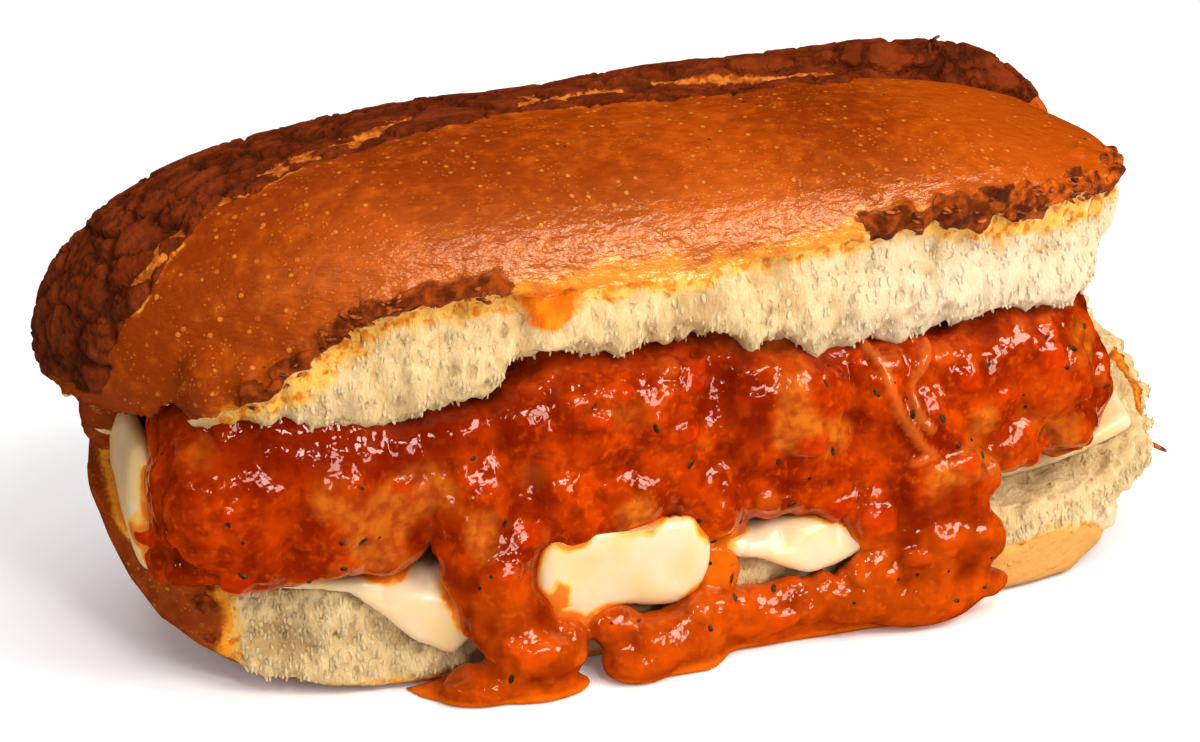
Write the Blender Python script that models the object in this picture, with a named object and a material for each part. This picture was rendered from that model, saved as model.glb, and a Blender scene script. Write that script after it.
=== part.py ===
"""A meatball sandwich: a long crusty roll, hinged at its back, holding four meatballs on melted cheese, with sauce that
runs out at the front. X runs along the roll, -Y is its open front, +Z is up, and it stands on z = 0. Sizes are metres."""

import math

import bmesh
import bpy
from mathutils import Vector, noise

MM = 0.001
FIT_GAP = 0.4 * MM

# The roll's upper half
TOP_START, TOP_END = -99 * MM, 99.5 * MM
TOP_HALF_WIDTH = 37.5 * MM
TOP_HEIGHT = 88 * MM
TOP_TIP_HEIGHT = 54 * MM
TOP_STATIONS = 34
CRUST_LIP = 1.6 * MM

# The slash that opened along the top of the roll as it baked, and the lobe behind it
SLASH_START, SLASH_END = -12 * MM, 104 * MM
SLASH_LINE, SLASH_DRIFT = 8 * MM, 5 * MM
SLASH_DEPTH, SLASH_WIDTH = 4.6 * MM, 3.2 * MM
LOBE_RISE, LOBE_RISE_END = 2.2 * MM, 4.5 * MM

# The roll's lower half
LOW_START, LOW_END = -92 * MM, 106 * MM
LOW_FRONT, LOW_BACK = 37.5 * MM, 38.5 * MM
LOW_STATIONS = 28
FOOT_FRONT, FOOT_BACK = 35 * MM, 24 * MM
RIM_HEIGHT = 18 * MM
HINGE_HEIGHT, HINGE_DEPTH = 47 * MM, 30 * MM
TIP_LIFT_LEFT, TIP_LIFT_RIGHT = 25 * MM, 11 * MM
CRUMB_BULGE = 3 * MM

# Slices of cheese, each by its ends and by the depth that its melted corner hangs down the front
CHEESE_THICKNESS = 2.6 * MM
CHEESE_BACK = 21 * MM
CHEESE_SLICES = {
    "cheese_left": (-86 * MM, -33.5 * MM, -40 * MM, 13 * MM, 15 * MM),
    "cheese_middle": (-32.5 * MM, 9 * MM, -20 * MM, 17 * MM, 16 * MM),
    "cheese_right": (10 * MM, 95 * MM, 26 * MM, 6 * MM, 15 * MM),
}

# Meatballs: centre along the roll, height of the centre, and half sizes along X, Y and Z
MEATBALL_SETBACK = -19 * MM
MEATBALLS = {
    "meatball_1": (-60.5 * MM, 44.0 * MM, 24.0 * MM, 20.5 * MM, 19.5 * MM),
    "meatball_2": (-13.5 * MM, 46.0 * MM, 21.3 * MM, 20.5 * MM, 20.0 * MM),
    "meatball_3": (25.5 * MM, 45.5 * MM, 16.9 * MM, 19.5 * MM, 19.0 * MM),
    "meatball_4": (66.0 * MM, 45.0 * MM, 20.3 * MM, 20.0 * MM, 19.0 * MM),
}
MEATBALL_LUMP = 1.0 * MM

# Sauce: rounded lumps as centre and half sizes, which flow together
SAUCE = {
    "sauce_left": (
        ((-36, -36, 43), (6, 4, 8)),
        ((-34, -39, 33), (8, 4.5, 9)),
        ((-32, -41, 23), (9, 4.5, 8)),
        ((-30, -42, 14), (9, 5, 7)),
        ((-25, -43, 6), (9, 7, 6)),
        ((-31, -38, 0), (14, 9, 2.6)),
        ((-38, -36, 0), (9, 8, 2.2)),
    ),
    "sauce_middle": (
        ((5, -33, 44), (6, 4, 8)),
        ((5, -35, 35), (8, 4.5, 7)),
        ((6, -37, 28), (9, 4, 5)),
    ),
    "sauce_right": (
        ((44, -35, 46), (6, 4, 9)),
        ((46, -38, 36), (8, 5, 9)),
        ((49, -40, 26), (12, 5, 9)),
        ((50, -41, 15), (13, 5.5, 8)),
        ((47, -40, 6), (13, 6.5, 6)),
        ((30, -38, 5), (10, 4.5, 5)),
        ((15, -38, 5), (10, 5, 6)),
        ((2, -39, 4), (9, 7, 6)),
        ((28, -35.5, 0), (34, 6, 2.4)),
        ((1, -38.5, 0), (10.5, 9, 2.4)),
    ),
}
SAUCE_VOXEL = 1.5 * MM
SAUCE_TRIANGLES = 1000

CRUST = (0.62, 0.27, 0.07)
MEAT = (0.50, 0.13, 0.03)
CHEESE = (0.93, 0.85, 0.62)
SAUCE_RED = (0.62, 0.07, 0.01)


def material(name, colour, roughness):
    made = bpy.data.materials.new(name)
    made.use_nodes = True
    shader = made.node_tree.nodes["Principled BSDF"]
    shader.inputs["Base Color"].default_value = (*colour, 1)
    shader.inputs["Roughness"].default_value = roughness
    shader.inputs["Metallic"].default_value = 0
    return made


def smooth_step(low, high, value):
    share = min(1, max(0, (value - low) / (high - low)))
    return share * share * (3 - 2 * share)


def bump(centre, width, value):
    return math.exp(-(((value - centre) / width) ** 2))


def end_taper(x, start, end, left=3.2, right=4.6, root=2.2):
    """Share of the full size left at x, which falls to nought at both ends, faster at the blunt right one."""
    middle, half = (start + end) / 2, (end - start) / 2
    share = min(1, abs(x - middle) / half)
    return (1 - share ** (left if x < middle else right)) ** (1 / root)


def stations(start, end, count):
    """Places from start to end, closer together towards the ends, the two tips left out."""
    middle, half = (start + end) / 2, (end - start) / 2
    return [middle - half * math.cos(math.pi * (i + 0.6) / (count + 0.2)) for i in range(count)]


def mesh_object(name, bm):
    """An object of triangles, so that a copy of it, cut or grown, has the same flat faces."""
    bmesh.ops.triangulate(bm, faces=bm.faces)
    bmesh.ops.recalc_face_normals(bm, faces=bm.faces)
    mesh = bpy.data.meshes.new(name)
    bm.to_mesh(mesh)
    bm.free()
    made = bpy.data.objects.new(name, mesh)
    bpy.context.scene.collection.objects.link(made)
    return made


def loft(name, rings, tips=None):
    """A closed solid through rings of points, each end closed by a face or drawn to a tip."""
    bm = bmesh.new()
    loops = [[bm.verts.new(point) for point in ring] for ring in rings]
    for before, after in zip(loops, loops[1:]):
        for i in range(len(before)):
            j = (i + 1) % len(before)
            bm.faces.new((before[i], before[j], after[j], after[i]))
    for loop, tip in zip((loops[0], loops[-1]), tips or (None, None)):
        if tip is None:
            bm.faces.new(loop)
            continue
        end = bm.verts.new(tip)
        for i in range(len(loop)):
            bm.faces.new((loop[i], loop[(i + 1) % len(loop)], end))
    return mesh_object(name, bm)


def superellipse(angle, half_width, half_height, power=2.15):
    """A point of the outline, from the front (0) over the top (90 degrees) to the back (180)."""
    c, s = math.cos(angle), math.sin(angle)
    y = -math.copysign(abs(c) ** (2 / power), c) * half_width
    return y, math.copysign(abs(s) ** (2 / power), s) * half_height


def rest_share(x):
    """1 where meatballs press the roll's inner faces, 0 at its open ends."""
    return smooth_step(-92 * MM, -76 * MM, x) * (1 - smooth_step(80 * MM, 96 * MM, x))


def cut_floor(x, y):
    """Height of the lower half's cut face, which rises from the front rim to the hinge."""
    power = 1.1 + 0.5 * rest_share(x)
    share = min(1.15, max(0, (y + LOW_FRONT) / (HINGE_DEPTH + LOW_FRONT)))
    return RIM_HEIGHT + (HINGE_HEIGHT - RIM_HEIGHT) * share**power


def crumb_bottom(x):
    """Height of the upper half's torn lower edge at the front."""
    return 47.5 * MM + 8.5 * MM * bump(2 * MM, 34 * MM, x) + 5.0 * MM * smooth_step(20 * MM, 60 * MM, x)


def crust_edge(x):
    """Height at which the upper half's crust gives way to torn crumb."""
    left = smooth_step(-82 * MM, -42 * MM, x)
    return 49.5 * MM + 19.5 * MM * left + 4.5 * MM * smooth_step(12 * MM, 44 * MM, x)


def tip_share(x):
    """0 along the upper half, 1 at its two tips, where its underside rises."""
    return 1 - smooth_step(-98 * MM, -89 * MM, x) * (1 - smooth_step(90 * MM, 99 * MM, x))


def slash_line(x):
    return SLASH_LINE + SLASH_DRIFT * smooth_step(SLASH_START, SLASH_END, x)


def slashed(x, y, z):
    """The crown's height at x and at y of a full-width section, low along the slash and high on the lobe behind it."""
    open_share = smooth_step(SLASH_START, 30 * MM, x) * (1 - smooth_step(TOP_END - 7 * MM, TOP_END, x))
    line = slash_line(x)
    groove = SLASH_DEPTH * (0.55 + 0.6 * smooth_step(50 * MM, 90 * MM, x)) * bump(line, SLASH_WIDTH, y)
    rise = LOBE_RISE + LOBE_RISE_END * smooth_step(40 * MM, 82 * MM, x)
    lobe = rise * smooth_step(line, line + 7 * MM, y) * (1 - smooth_step(line + 10 * MM, 42 * MM, y))
    return z + open_share * (lobe - groove)


def uneven(point, size, amount):
    """A point moved a little up or down, as baked dough is never even."""
    return Vector(point) + Vector((0, 0, amount * noise.noise(Vector(point) / size)))


def top_ring(x):
    """Outline of the upper half at x: torn front face, crown, back, then the cut face."""
    width = TOP_HALF_WIDTH * end_taper(x, TOP_START, TOP_END)
    share = width / TOP_HALF_WIDTH
    crown = TOP_TIP_HEIGHT + (TOP_HEIGHT - TOP_TIP_HEIGHT) * end_taper(x, TOP_START, TOP_END)
    torn = crumb_bottom(x) + (TOP_TIP_HEIGHT - 1.5 * MM - crumb_bottom(x)) * (1 - share) ** 0.9
    edge = torn + (crust_edge(x) - torn) * min(1, (crown - torn) / (TOP_HEIGHT - torn) * 1.25)
    edge = min(edge, crown - 0.6 * MM)
    ring = [
        (x, -width + CRUST_LIP * 2 * share, torn),
        (x, -width + CRUST_LIP * share, torn + 0.5 * (edge - torn)),
        (x, -width + CRUST_LIP * share, edge - 0.6 * MM * share),
    ]
    angles = [9 * i for i in range(9)] + [78 + 5 * i for i in range(11)] + [137 + 9 * i for i in range(5)]
    for angle in angles:
        y, z = superellipse(math.radians(angle), width, crown - edge)
        ring.append(tuple(uneven((x, y, slashed(x, y / share, edge + z)), 24 * MM, 1.2 * MM * share)))
    rise, raised = TOP_TIP_HEIGHT - 1.5 * MM, tip_share(x)
    back_low = 43 * MM + (rise - 43 * MM) * raised
    ring += [
        (x, width - 0.2 * MM, torn + 0.5 * (edge - torn)),
        (x, (LOW_BACK - 4.2 * MM) * share, max(48.5 * MM, back_low + 0.3 * MM)),
        (x, (LOW_BACK - 6 * MM) * share, back_low),
        (x, (LOW_BACK - 11 * MM) * share, back_low),
    ]
    cheese_top = FIT_GAP + CHEESE_THICKNESS
    inner = [(y, cut_floor(x, y * MM * share) + cheese_top + 0.9 * MM) for y in (22, 14, 6)]
    inner += [(-2, 47 * MM), (-14, 50 * MM), (-26, max(torn, 50 * MM))]
    ring += [(x, y * MM * share, z + (rise - z) * raised) for y, z in inner]
    return ring


def top_half():
    places = stations(TOP_START, TOP_END, TOP_STATIONS)
    tips = [(x, 0, TOP_TIP_HEIGHT - 1.5 * MM) for x in (TOP_START, TOP_END)]
    return loft("top_half", [top_ring(x) for x in places], tips)


def quarter(start, end, power, steps):
    """Points of a rounded corner, from start, where it runs along Y, to end, where it runs along Z."""
    points = []
    for i in range(1, steps):
        angle = math.pi / 2 * i / steps
        along, up = math.sin(angle) ** (2 / power), math.cos(angle) ** (2 / power)
        points.append((start[0] + (end[0] - start[0]) * along, end[1] + (start[1] - end[1]) * up))
    return points


def foot_height(x):
    """How far the roll's underside is off the table, which is nought but near its ends."""
    left = TIP_LIFT_LEFT * (1 - end_taper(min(x, 0), LOW_START, -LOW_START, left=6, root=1.5))
    right = TIP_LIFT_RIGHT * smooth_step(82 * MM, 97 * MM, x)
    return left + right


def low_tip(x):
    return Vector((x, -2 * MM, 0.5 * (foot_height(x) + cut_floor(x, 0))))


def low_ring(x):
    """Outline of the lower half at x: crumb face at the front, underside, back wall, then the cut face."""
    share = end_taper(x, LOW_START, LOW_END)
    front, back = LOW_FRONT * share, LOW_BACK * share
    foot = foot_height(x)
    rim = cut_floor(x, -front)
    lip = min(foot + 3 * MM, foot + 0.3 * (rim - foot))
    bulge = CRUMB_BULGE * bump(-56 * MM, 24 * MM, x)
    ring = [
        (x, -front, rim),
        (x, -front - 0.6 * MM * share - 0.6 * bulge, foot + 0.6 * (rim - foot)),
        (x, -front + 0.3 * MM * share - bulge, lip),
        (x, -front + 0.9 * MM * share - bulge, foot + 0.3 * (lip - foot)),
    ]
    flat_front, flat_back = (x, -FOOT_FRONT * share - bulge, foot), (x, FOOT_BACK * share, foot)
    ring += [flat_front, (x, 0, foot), flat_back]
    wall_top = foot + (HINGE_HEIGHT - foot) * (0.6 + 0.4 * share) + 1.5 * MM
    side = (back, foot + 0.62 * (wall_top - foot))
    ring += [(x, y, z) for y, z in quarter(flat_back[1:], side, 2.2, 5)]
    ring += [(x, *side), (x, back - 0.8 * MM * share, 0.4 * side[1] + 0.6 * wall_top), (x, back - 3 * MM * share, wall_top)]
    for y in (30, 26, 20, 13, 6, -1, -9, -17, -25, -32):
        level = min(cut_floor(x, y * MM * share), wall_top - 0.6 * MM)
        ring.append((x, y * MM * share, level))
    tip = low_tip(x).z
    return [(x, y, tip + (z - tip) * min(1, 2.2 * share)) for _, y, z in ring]


def bottom_half():
    places = stations(LOW_START, LOW_END, LOW_STATIONS)
    return loft("bottom_half", [low_ring(x) for x in places], [low_tip(LOW_START), low_tip(LOW_END)])


def settle(obj):
    """Applies the object's modifiers and gives it the mesh that they made."""
    graph = bpy.context.evaluated_depsgraph_get()
    mesh = bpy.data.meshes.new_from_object(obj.evaluated_get(graph))
    obj.modifiers.clear()
    obj.data = mesh
    return obj


def apart(obj, other):
    """Whether the boxes round two objects leave a gap between them."""
    boxes = [[[vert.co[k] for vert in each.data.vertices] for k in range(3)] for each in (obj, other)]
    return any(max(a) < min(b) or max(b) < min(a) for a, b in zip(*boxes))


def combine(obj, other, operation):
    """A Boolean of two objects, applied to the first."""
    if not apart(obj, other):
        modifier = obj.modifiers.new(operation.title(), "BOOLEAN")
        modifier.operation, modifier.object, modifier.solver = operation, other, "EXACT"
        settle(obj)
    return obj


def carve(obj, rooms):
    for room in rooms:
        combine(obj, room, "DIFFERENCE")


def grown(obj, margin):
    """A copy of an object, larger by a margin all round, to cut its neighbours with."""
    copy = bpy.data.objects.new(obj.name + "_room", obj.data.copy())
    bpy.context.scene.collection.objects.link(copy)
    modifier = copy.modifiers.new("Grow", "DISPLACE")
    modifier.strength, modifier.mid_level = margin, 0
    return settle(copy)


def cheese_hem(x, corner, drop, reach):
    """How far the slice hangs down in front of the rim at x, most at its melted corner."""
    return drop * max(0, 1 - abs(x - corner) / reach) ** 1.2 - 1.5 * MM * (1 - bump(corner, reach, x))


def cheese_line(x):
    """The way a slice takes at x: from its back edge down the cut floor, over the rim and down in front of it."""
    share = end_taper(x, LOW_START, LOW_END)
    front = LOW_FRONT * share
    lift = FIT_GAP + CHEESE_THICKNESS / 2
    back, brow = CHEESE_BACK * share, -front - 0.2 * MM
    line = []
    for i in range(25):
        y = back + (brow - back) * i / 24
        line.append(Vector((x, y, cut_floor(x, y) + lift)))
    turn = line[-1].z
    radius = lift + 0.9 * MM
    for angle in (25, 50, 75, 90):
        across, down = math.sin(math.radians(angle)), 1 - math.cos(math.radians(angle))
        line.append(Vector((x, brow - radius * across, turn - radius * down)))
    edge = len(line) - 3
    line += [Vector((x, line[-1].y, line[-1].z - drop * MM)) for drop in (6, 12, 20)]
    return line, edge


def resampled(line, length, count):
    """Points spaced evenly along the first part of a line."""
    points, reach, index = [], 0, 0
    for i in range(count):
        target = length * i / (count - 1)
        while index < len(line) - 2 and reach + (line[index + 1] - line[index]).length < target:
            reach += (line[index + 1] - line[index]).length
            index += 1
        step = (line[index + 1] - line[index]).length
        points.append(line[index].lerp(line[index + 1], (target - reach) / step))
    return points


def ribbon(points, thickness):
    """A ring round a line of points in a YZ plane, thick at the middle and rounded at its two ends."""
    above, below = [], []
    for i, point in enumerate(points):
        along = (points[min(i + 1, len(points) - 1)] - points[max(i - 1, 0)]).normalized()
        side = Vector((0, -along.z, along.y)) * thickness / 2
        side *= 0.55 if i in (0, len(points) - 1) else 1
        above.append(point + side)
        below.append(point - side)
    return above + below[::-1]


def cheese_slice(name, start, end, corner, drop, reach):
    count = max(8, round((end - start) / (5 * MM)))
    rings = []
    for i in range(count + 1):
        x = start + (end - start) * i / count
        line, edge = cheese_line(x)
        length = sum((b - a).length for a, b in zip(line[:edge], line[1 : edge + 1]))
        length += cheese_hem(x, corner, drop, reach)
        rings.append(ribbon(resampled(line, length, 11), CHEESE_THICKNESS))
    return loft(name, rings)


def meatball(name, centre, height, half_x, half_y, half_z):
    bm = bmesh.new()
    bmesh.ops.create_uvsphere(bm, u_segments=20, v_segments=13, radius=1)
    middle = Vector((centre, MEATBALL_SETBACK, height))
    for vert in bm.verts:
        spot = vert.co * 1.9 + middle / (9 * MM)
        lump = 1 + MEATBALL_LUMP / half_y * (noise.noise(spot) * 1.6)
        vert.co = middle + Vector((vert.co.x * half_x, vert.co.y * half_y, vert.co.z * half_z)) * lump
    return mesh_object(name, bm)


def sauce_flow(name, lumps):
    bm = bmesh.new()
    for centre, half in lumps:
        made = bmesh.ops.create_icosphere(bm, subdivisions=3, radius=1)
        for vert in made["verts"]:
            vert.co = Vector(centre) * MM + Vector([c * h * MM for c, h in zip(vert.co, half)])
    flow = mesh_object(name, bm)
    remesh = flow.modifiers.new("Flow", "REMESH")
    remesh.mode, remesh.voxel_size = "VOXEL", SAUCE_VOXEL
    soften = flow.modifiers.new("Soften", "SMOOTH")
    soften.factor, soften.iterations = 0.5, 4
    settle(flow)
    thin = flow.modifiers.new("Thin", "DECIMATE")
    thin.ratio = min(1, SAUCE_TRIANGLES / (2 * len(flow.data.polygons)))
    settle(flow)
    return cut_flat(flow)


def cut_flat(obj):
    """Cuts off what lies under the table's surface and closes the cut."""
    bm = bmesh.new()
    bm.from_mesh(obj.data)
    everything = bm.verts[:] + bm.edges[:] + bm.faces[:]
    bmesh.ops.bisect_plane(bm, geom=everything, plane_co=(0, 0, 0), plane_no=(0, 0, -1), clear_outer=True)
    bmesh.ops.holes_fill(bm, edges=[edge for edge in bm.edges if edge.is_boundary])
    bm.to_mesh(obj.data)
    bm.free()
    return obj


def finish(obj, colour, roughness):
    obj.data.materials.clear()
    obj.data.materials.append(material(obj.name + "_finish", colour, roughness))
    obj.data.shade_smooth()
    obj.data.set_sharp_from_angle(angle=math.radians(50))


def centre_on_base(objects):
    """Moves everything so that the origin is at the middle of the whole's base."""
    points = [obj.matrix_world @ vert.co for obj in objects for vert in obj.data.vertices]
    low = [min(point[k] for point in points) for k in range(3)]
    high = [max(point[k] for point in points) for k in range(3)]
    shift = Vector((-(low[0] + high[0]) / 2, -(low[1] + high[1]) / 2, -low[2]))
    for obj in objects:
        for vert in obj.data.vertices:
            vert.co += shift


def build():
    for obj in list(bpy.data.objects):
        bpy.data.objects.remove(obj)
    slices = [cheese_slice(name, *sizes) for name, sizes in CHEESE_SLICES.items()]
    balls = [meatball(name, *sizes) for name, sizes in MEATBALLS.items()]
    halves = [bottom_half(), top_half()]
    cheese_rooms = [grown(piece, FIT_GAP) for piece in slices]
    ball_rooms = [grown(ball, FIT_GAP) for ball in balls]
    roll_rooms = [grown(half, FIT_GAP) for half in halves]
    flows = [sauce_flow(name, lumps) for name, lumps in SAUCE.items()]
    for flow in flows:
        carve(flow, cheese_rooms + ball_rooms + roll_rooms)
    for ball in balls:
        carve(ball, cheese_rooms)
    roll = combine(*halves, "UNION")
    roll.name = "roll"
    carve(roll, cheese_rooms + ball_rooms)
    for spent in [halves[1], *cheese_rooms, *ball_rooms, *roll_rooms]:
        bpy.data.objects.remove(spent)
    finish(roll, CRUST, 0.45)
    for piece in slices:
        finish(piece, CHEESE, 0.35)
    for ball in balls:
        finish(ball, MEAT, 0.4)
    for flow in flows:
        finish(flow, SAUCE_RED, 0.2)
    centre_on_base([roll, *slices, *balls, *flows])


if __name__ == "__main__":
    build()
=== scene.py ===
"""Dresses a meatball sandwich: a crusty roll with torn crumb, melted cheese, and meatballs under chunky tomato sauce.

Places are in millimetres from the middle of the loaf, X along it, -Y to its open front and +Z up, as seen in SHIFT.
"""

import itertools
import math

import bmesh
import bpy
import numpy as np
from bpy.props import FloatProperty, FloatVectorProperty, IntProperty, PointerProperty
from mathutils import Matrix, Quaternion, Vector
from mathutils.bvhtree import BVHTree


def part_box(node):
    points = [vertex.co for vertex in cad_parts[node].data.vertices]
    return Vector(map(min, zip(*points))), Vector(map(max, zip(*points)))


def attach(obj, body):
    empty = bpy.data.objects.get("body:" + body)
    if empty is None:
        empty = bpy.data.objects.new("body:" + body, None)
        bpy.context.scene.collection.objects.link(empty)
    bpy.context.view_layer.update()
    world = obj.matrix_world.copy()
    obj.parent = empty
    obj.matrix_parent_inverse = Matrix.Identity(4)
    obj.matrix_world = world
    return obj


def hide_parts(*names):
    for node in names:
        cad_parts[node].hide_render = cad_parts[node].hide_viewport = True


bl_info = {
    "name": "Meatball Sandwich",
    "version": (1, 0, 0),
    "blender": (4, 5, 0),
    "location": "View3D > Sidebar > Sandwich",
    "description": "Crust, crumb, cheese and sauce for a filled roll",
    "category": "Object",
}

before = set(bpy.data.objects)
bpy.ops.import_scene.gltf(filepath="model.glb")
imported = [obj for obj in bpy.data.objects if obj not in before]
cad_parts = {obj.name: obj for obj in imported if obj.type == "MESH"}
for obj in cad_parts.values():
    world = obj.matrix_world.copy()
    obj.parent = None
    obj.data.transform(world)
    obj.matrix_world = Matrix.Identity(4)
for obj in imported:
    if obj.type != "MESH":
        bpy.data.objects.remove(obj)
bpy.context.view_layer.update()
MM = 0.001
ROLL_LOW, ROLL_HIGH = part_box("roll")
SHIFT = np.array((ROLL_LOW[0] / MM + 99, ROLL_HIGH[1] / MM - 38.5, 0))


# Shapes of numbers: all take and give numpy arrays, in millimetres


def smooth_step(low, high, value):
    share = np.clip((value - low) / (high - low), 0, 1)
    return share * share * (3 - 2 * share)


def band(low, high, fade, value):
    return smooth_step(low - fade, low + fade, value) * (1 - smooth_step(high - fade, high + fade, value))


def bump(centre, width, value):
    return np.exp(-(((value - centre) / width) ** 2))


def cell_number(cells, seed):
    """A repeatable number from 0 to 1 for each whole-number cell."""
    mixed = cells[..., 0] * 73856093 ^ cells[..., 1] * 19349663 ^ cells[..., 2] * 83492791 ^ seed * 40503
    for _ in range(2):
        mixed = ((mixed ^ (mixed >> 15)) * 2246822519) & 0xFFFFFFFF
    return ((mixed >> 8) & 0xFFFF) / 65535


def swell(places, size, seed=0):
    """Smooth noise of that size, from -1 to 1."""
    spots = places / size + seed * 7.31
    base = np.floor(spots).astype(np.int64)
    part = spots - base
    part = part * part * (3 - 2 * part)
    total = 0
    for corner in itertools.product((0, 1), repeat=3):
        weight = np.prod(np.where(corner, part, 1 - part), axis=-1)
        total = total + weight * cell_number(base + corner, seed)
    return 2 * total - 1


def plates(places, size, seed=0):
    """Scattered cells of that size: how deep in its cell each place is, how near a centre, and the cell's number."""
    spots = places / size
    base = np.floor(spots).astype(np.int64)
    near, second, tag = (np.full(len(places), value) for value in (9.0, 9.0, 0.0))
    for step in itertools.product((-1, 0, 1), repeat=3):
        cell = base + step
        centre = cell + np.stack([cell_number(cell, seed + k) for k in range(3)], axis=-1)
        gap = np.linalg.norm(spots - centre, axis=-1)
        closer = gap < near
        second = np.where(closer, near, np.minimum(second, gap))
        near = np.where(closer, gap, near)
        tag = np.where(closer, cell_number(cell, seed + 9), tag)
    return second - near, near, tag


def crumb_bottom(x):
    """Height of the upper half's torn lower edge at the front."""
    return 47.5 + 8.5 * bump(2, 34, x) + 5 * smooth_step(20, 60, x)


def crust_edge(x):
    """Height at which the upper half's crust gives way to torn crumb."""
    return 49.5 + 19.5 * smooth_step(-82, -42, x) + 4.5 * smooth_step(12, 44, x) - 5 * smooth_step(-75, -82, x)


def cut_floor(x, y):
    """Height of the lower half's cut face."""
    power = 1.1 + 0.5 * smooth_step(-92, -76, x) * (1 - smooth_step(80, 96, x))
    return 18 + 29 * np.clip((y + 37.5) / 67.5, 0, 1.15) ** power


# Meshes


def settle(piece):
    """Applies the piece's modifiers."""
    graph = bpy.context.evaluated_depsgraph_get()
    mesh = bpy.data.meshes.new_from_object(piece.evaluated_get(graph))
    piece.modifiers.clear()
    piece.data = mesh


def link(name, mesh):
    piece = bpy.data.objects.new(name, mesh)
    bpy.context.scene.collection.objects.link(piece)
    return piece


def piece_of(name, sheet):
    """The bmesh as an object of that name."""
    mesh = bpy.data.meshes.new(name)
    sheet.to_mesh(mesh)
    sheet.free()
    return link(name, mesh)


def rounded(piece, levels):
    """The piece, subdivided so that its edges are round."""
    finer = piece.modifiers.new("Rounded", "SUBSURF")
    finer.levels = finer.render_levels = levels
    settle(piece)
    return piece


def even_skin(name, nodes, voxel, rounds, lumps=()):
    """One even, fine mesh round CAD nodes and any lumps, given as centre and half sizes, softened by some rounds."""
    joined = bmesh.new()
    for node in nodes:
        joined.from_mesh(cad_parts[node].data)
    bmesh.ops.remove_doubles(joined, verts=joined.verts, dist=1e-6)
    for centre, half in lumps:
        made = bmesh.ops.create_icosphere(joined, subdivisions=3, radius=1)
        for vert in made["verts"]:
            place = np.array(centre) + SHIFT + np.array(vert.co) * half
            vert.co = Vector(place * MM)
    piece = piece_of(name, joined)
    even = piece.modifiers.new("Even", "REMESH")
    even.mode, even.voxel_size = "VOXEL", voxel * MM
    soft = piece.modifiers.new("Soft", "SMOOTH")
    soft.factor, soft.iterations = 0.5, rounds
    settle(piece)
    return piece


def places_of(piece):
    """The piece's points, in millimetres from the loaf's middle, and their normals."""
    mesh = piece.data
    spots, normals = np.empty(len(mesh.vertices) * 3), np.empty(len(mesh.vertices) * 3)
    mesh.vertices.foreach_get("co", spots)
    mesh.vertex_normals.foreach_get("vector", normals)
    return spots.reshape(-1, 3) / MM - SHIFT, normals.reshape(-1, 3)


def place(piece, places):
    piece.data.vertices.foreach_set("co", ((places + SHIFT) * MM).ravel())
    piece.data.update()


# Gaps wider than this many millimetres aren't measured
FAR = 4


def gaps_to(piece, places):
    """How far each place is from the piece's surface, in millimetres up to FAR."""
    tree = BVHTree.FromObject(piece, bpy.context.evaluated_depsgraph_get())
    far = FAR * MM
    return np.array([tree.find_nearest(Vector(spot), far)[3] or far for spot in (places + SHIFT) * MM]) / MM


def mark(piece, **fields):
    """Stores numbers on the points, for materials to read by name."""
    for name, values in fields.items():
        made = piece.data.attributes.new(name, "FLOAT", "POINT")
        made.data.foreach_set("value", np.clip(values, 0, 1).astype(np.float32))


def keep_points(piece, wanted):
    """Leaves only the faces that have a point among those wanted."""
    sheet = bmesh.new()
    sheet.from_mesh(piece.data)
    sheet.verts.ensure_lookup_table()
    lost = [face for face in sheet.faces if not any(wanted[vert.index] for vert in face.verts)]
    bmesh.ops.delete(sheet, geom=lost, context="FACES")
    sheet.to_mesh(piece.data)
    sheet.free()


def clothe(piece, finish, slot, *nodes):
    """Gives a piece its material and its place in the frame."""
    piece.data.materials.clear()
    piece.data.materials.append(finish)
    piece.data.shade_smooth()
    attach(piece, "root")
    if nodes:
        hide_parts(*nodes)


# Materials


class Value:
    """A socket of a finish, so that shader maths reads as arithmetic."""

    def __init__(self, finish, socket):
        self.finish, self.socket = finish, socket

    def calc(self, operation, first, second):
        return self.finish.node("Math", {"operation": operation}, [first, second])

    def __add__(self, other):
        return self.calc("ADD", self, other)

    def __mul__(self, other):
        return self.calc("MULTIPLY", self, other)

    def __sub__(self, other):
        return self.calc("SUBTRACT", self, other)

    def __rsub__(self, other):
        return self.calc("SUBTRACT", other, self)

    __radd__ = __add__
    __rmul__ = __mul__

    def over(self, low, high):
        """0 below low and 1 above high, smooth between; falls instead where low is the larger."""
        settings = {"interpolation_type": "SMOOTHSTEP"}
        return self.finish.node("MapRange", settings, {"Value": self, "From Min": low, "From Max": high})


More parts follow.
